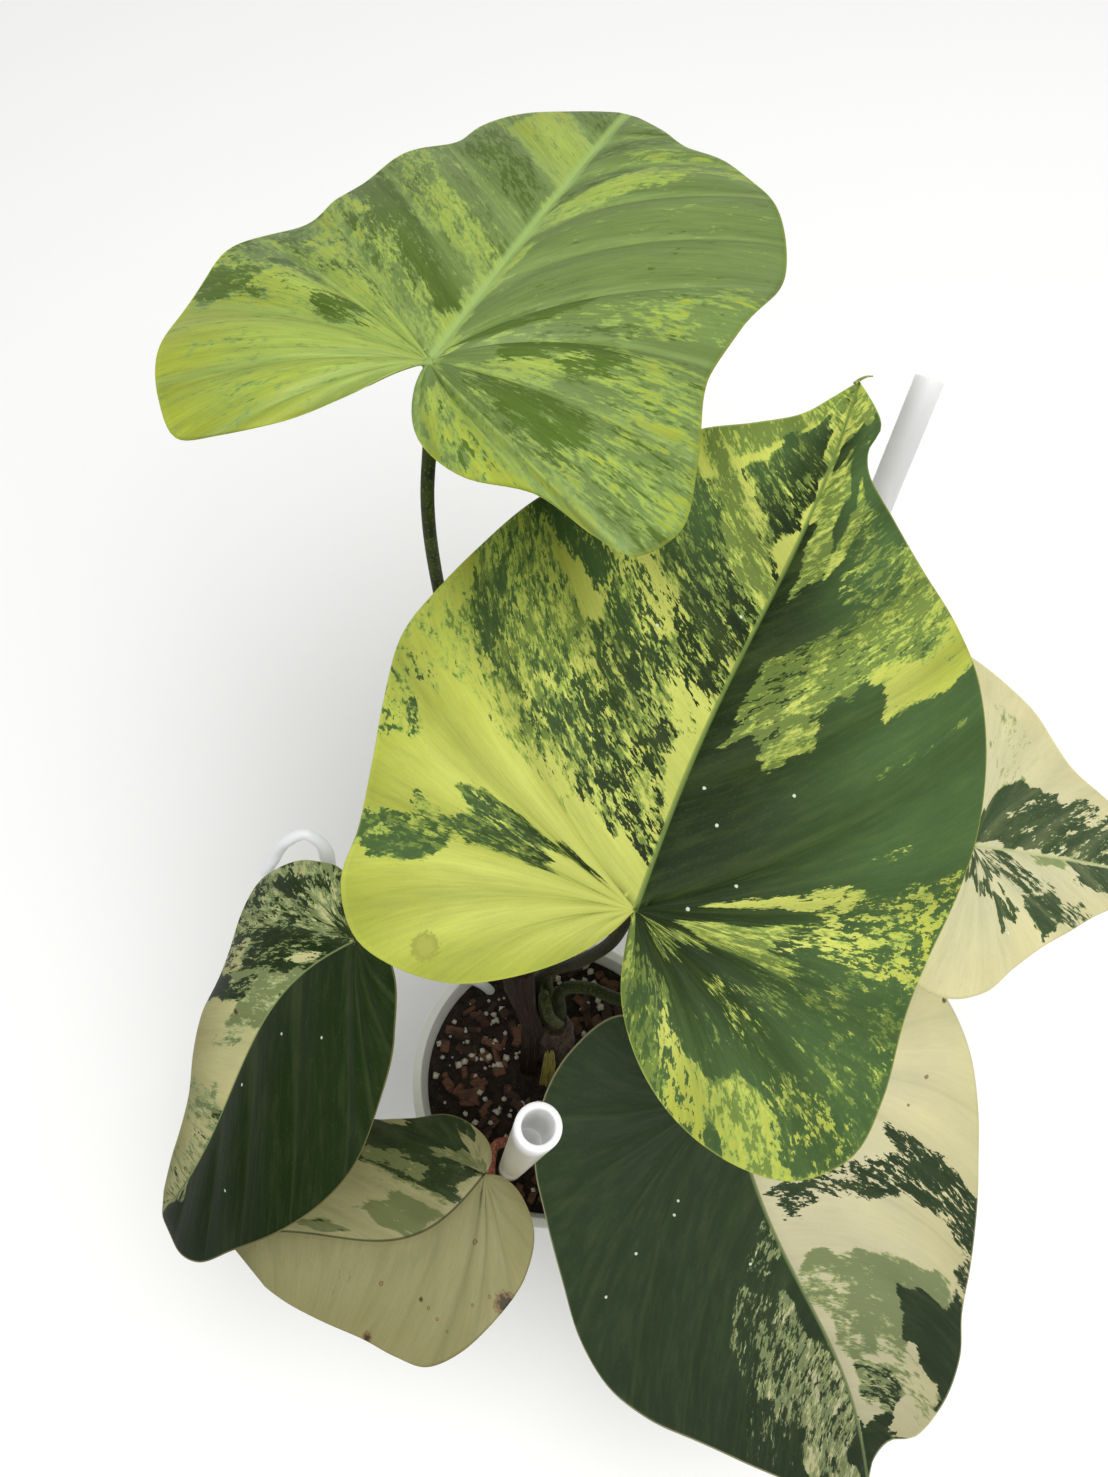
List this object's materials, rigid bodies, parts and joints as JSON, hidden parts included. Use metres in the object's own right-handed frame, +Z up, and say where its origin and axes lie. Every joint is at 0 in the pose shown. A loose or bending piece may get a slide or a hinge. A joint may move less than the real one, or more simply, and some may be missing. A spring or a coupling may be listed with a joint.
{
  "type": "potted variegated philodendron hybrid",
  "caption": "Potted philodendron hybrid: large heart-shaped leaves streaked green, lime and cream on slender petioles, in a white plastic pot with tube stakes and a hooked support rod.",
  "frame": {"origin": "middle of the pot's underside, on the surface that the pot stands on", "axes": "+Z up; +Y towards the tip of the highest leaf, away from the viewer of the picture; +X to the viewer's right"},
  "size_m": [0.3808, 0.4497, 0.3734],
  "materials": {
    "pot_plastic": "satin white, slightly translucent",
    "stake_plastic": "smooth semi-gloss white",
    "potting_mix": "loose dark bark mix with white grains",
    "leaf_lime": "satin blade, lime with mid-green streaks",
    "leaf_green": "satin blade, dark green marbled with lime and cream",
    "leaf_cream": "satin blade, cream marbled with dark green",
    "petiole_green": "rough, dotted dark green",
    "dried_sheath": "dry ribbed dark brown",
    "fresh_sheath": "yellow-green, ribbed"
  },
  "bodies": {
    "root": {"pot": "pot_plastic", "soil": "potting_mix", "stem": "dried_sheath", "sheath_dried": "dried_sheath", "sheath_fresh": "fresh_sheath", "petiole_stump": "petiole_green", "petiole_a": "petiole_green", "petiole_b": "petiole_green", "petiole_c": "petiole_green", "petiole_d": "petiole_green", "petiole_e": "petiole_green", "petiole_f": "petiole_green", "leaf_a": "leaf_lime", "leaf_b": "leaf_green", "leaf_c": "leaf_cream", "leaf_d": "leaf_green", "leaf_e": "leaf_green", "leaf_f": "leaf_cream", "stake_front": "stake_plastic", "stake_back": "stake_plastic", "hook_rod": "stake_plastic"}
  },
  "joints": []
}
